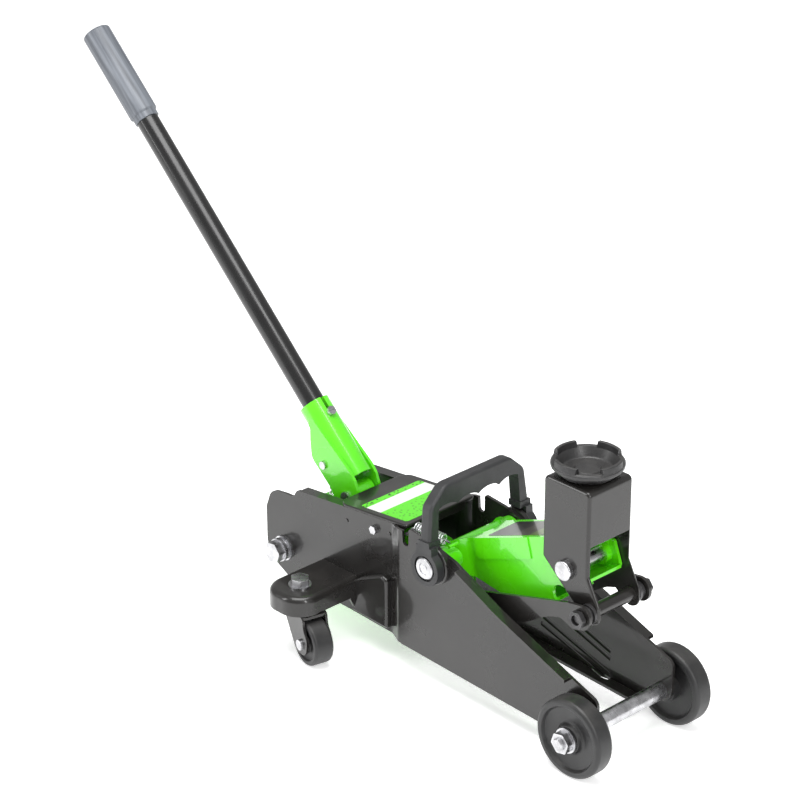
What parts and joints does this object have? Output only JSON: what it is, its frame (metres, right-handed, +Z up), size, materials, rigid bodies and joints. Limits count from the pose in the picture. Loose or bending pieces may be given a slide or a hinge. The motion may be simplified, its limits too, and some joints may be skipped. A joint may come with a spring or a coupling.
{
  "type": "hydraulic floor jack",
  "caption": "Trolley jack: pressed side plates on front wheels and rear casters, lift arm with a tall saddle bracket and turning saddle, pumped by a long tube handle.",
  "frame": {"origin": "on the floor, under the middle of the outline's length and width", "axes": "+X forward, from the handle towards the saddle and front wheels; +Y to the jack's left; +Z up"},
  "size_m": [0.769, 0.244, 0.5055],
  "materials": {
    "black_powder_coat": "satin black powder coat",
    "green_paint": "gloss lime green paint",
    "zinc": "bright zinc plate",
    "dark_steel": "blackened steel",
    "machined_steel": "machined steel",
    "chrome_rod": "ground and chromed",
    "spring_steel": "zinc spring wire",
    "cast_saddle": "black cast iron",
    "wheel_plastic": "black moulded nylon",
    "handle_plastic": "textured black plastic",
    "tube_paint": "black paint",
    "grip_foam": "grey vinyl sleeve",
    "seal_rubber": "black rubber"
  },
  "bodies": {
    "frame": {"side_plate_right": "black_powder_coat", "side_plate_left": "black_powder_coat", "caster_ear_right": "black_powder_coat", "caster_ear_left": "black_powder_coat", "top_cover": "black_powder_coat", "side_screws": "zinc", "front_axle": "zinc", "axle_nuts": "zinc", "axle_washers": "zinc", "front_spacer": "zinc", "tie_bolt": "zinc", "tie_washers": "zinc", "tie_nut": "zinc", "king_bolts": "zinc", "king_washers": "zinc", "king_nuts": "dark_steel", "main_shaft": "zinc", "pivot_caps": "black_powder_coat", "link_pins": "dark_steel", "pump_body": "green_paint", "ram_cylinder": "machined_steel", "tank_tube": "green_paint", "tank_nut": "machined_steel", "filler_plug": "seal_rubber", "overload_screw": "machined_steel", "plunger_spring": "spring_steel", "return_spring": "spring_steel", "spring_peg": "dark_steel", "socket_pin": "zinc"},
    "arm": {"lift_arm": "green_paint", "crank_pin": "dark_steel", "saddle_pin": "zinc"},
    "bracket": {"saddle_bracket": "black_powder_coat", "lower_spacer": "black_powder_coat", "lower_bolt": "dark_steel", "lower_washers": "dark_steel", "lower_nuts": "dark_steel"},
    "saddle": {"saddle_cup": "cast_saddle"},
    "links": {"link_bar_right": "black_powder_coat", "link_bar_left": "black_powder_coat"},
    "ram": {"ram_rod": "chrome_rod"},
    "plunger": {"pump_plunger": "chrome_rod"},
    "socket": {"handle_socket": "green_paint", "socket_screw": "zinc", "push_pin": "zinc"},
    "handle": {"handle_tube": "tube_paint", "handle_grip": "grip_foam"},
    "valve": {"release_valve": "machined_steel"},
    "carry": {"carry_handle": "handle_plastic"},
    "front_wheel_right": {"front_wheel_right": "wheel_plastic"},
    "caster_right": {"caster_fork_right": "black_powder_coat", "caster_axle_right": "zinc", "caster_race_right": "zinc"},
    "caster_wheel_right": {"caster_wheel_right": "wheel_plastic"},
    "front_wheel_left": {"front_wheel_left": "wheel_plastic"},
    "caster_left": {"caster_fork_left": "black_powder_coat", "caster_axle_left": "zinc", "caster_race_left": "zinc"},
    "caster_wheel_left": {"caster_wheel_left": "wheel_plastic"}
  },
  "joints": [
    {"name": "arm_lift", "type": "hinge", "parent": "frame", "child": "arm", "pos_m": [0.1565, 0, 0.131], "axis": [0, -1, 0], "range_deg": [-20, 42], "deforming": ["return_spring"]},
    {"name": "ram_slide", "type": "slide", "parent": "frame", "child": "ram", "axis": [1, 0, 0], "range_m": [-0.0134, 0.0282]},
    {"name": "link_swing", "type": "hinge", "parent": "frame", "child": "links", "pos_m": [0.1861, 0, 0.0986], "axis": [0, -1, 0], "range_deg": [-20.5, 42.5]},
    {"name": "bracket_level", "type": "hinge", "parent": "arm", "child": "bracket", "pos_m": [0.2965, 0, 0.171], "axis": [0, -1, 0], "range_deg": [-42.5, 20.5]},
    {"name": "saddle_turn", "type": "hinge", "parent": "bracket", "child": "saddle", "pos_m": [0.2935, 0, 0.262], "axis": [0, 0, 1], "continuous": true},
    {"name": "handle_pump", "type": "hinge", "parent": "frame", "child": "socket", "pos_m": [-0.0015, 0, 0.127], "axis": [0, -1, 0], "range_deg": [-22, 28]},
    {"name": "plunger_slide", "type": "slide", "parent": "frame", "child": "plunger", "axis": [0, 0, -1], "range_m": [-0.012, 0.0152], "deforming": ["plunger_spring"]},
    {"name": "handle_twist", "type": "hinge", "parent": "socket", "child": "handle", "pos_m": [-0.0015, 0, 0.1423], "axis": [-0.7266, 0, 0.6871], "range_deg": [0, 180]},
    {"name": "valve_turn", "type": "hinge", "parent": "frame", "child": "valve", "pos_m": [-0.0655, 0.018, 0.086], "axis": [-1, 0, 0], "range_deg": [0, 180]},
    {"name": "carry_fold", "type": "hinge", "parent": "frame", "child": "carry", "pos_m": [0.1565, 0, 0.131], "axis": [0, -1, 0], "range_deg": [0, 22]},
    {"name": "front_wheel_right_roll", "type": "hinge", "parent": "frame", "child": "front_wheel_right", "pos_m": [0.3465, -0.0654, 0.038], "axis": [0, 1, 0], "continuous": true},
    {"name": "caster_right_swivel", "type": "hinge", "parent": "frame", "child": "caster_right", "pos_m": [0.0195, -0.095, 0.055], "axis": [0, 0, 1], "continuous": true},
    {"name": "caster_right_roll", "type": "hinge", "parent": "caster_right", "child": "caster_wheel_right", "pos_m": [0.04293, -0.1002, 0.0224], "axis": [0.2164, 0.9763, 0], "continuous": true},
    {"name": "front_wheel_left_roll", "type": "hinge", "parent": "frame", "child": "front_wheel_left", "pos_m": [0.3465, 0.0654, 0.038], "axis": [0, 1, 0], "continuous": true},
    {"name": "caster_left_swivel", "type": "hinge", "parent": "frame", "child": "caster_left", "pos_m": [0.0195, 0.095, 0.055], "axis": [0, 0, 1], "continuous": true},
    {"name": "caster_left_roll", "type": "hinge", "parent": "caster_left", "child": "caster_wheel_left", "pos_m": [0.04293, 0.1002, 0.0224], "axis": [-0.2164, 0.9763, 0], "continuous": true}
  ],
  "couplings": [
    {"joint": "ram_slide", "follows": "arm_lift", "m_per_rad": 0.0382},
    {"joint": "link_swing", "follows": "arm_lift", "ratio": 1},
    {"joint": "bracket_level", "follows": "arm_lift", "ratio": -1},
    {"joint": "plunger_slide", "follows": "handle_pump", "m_per_rad": 0.03094},
    {"joint": "valve_turn", "follows": "handle_twist", "ratio": 1}
  ]
}
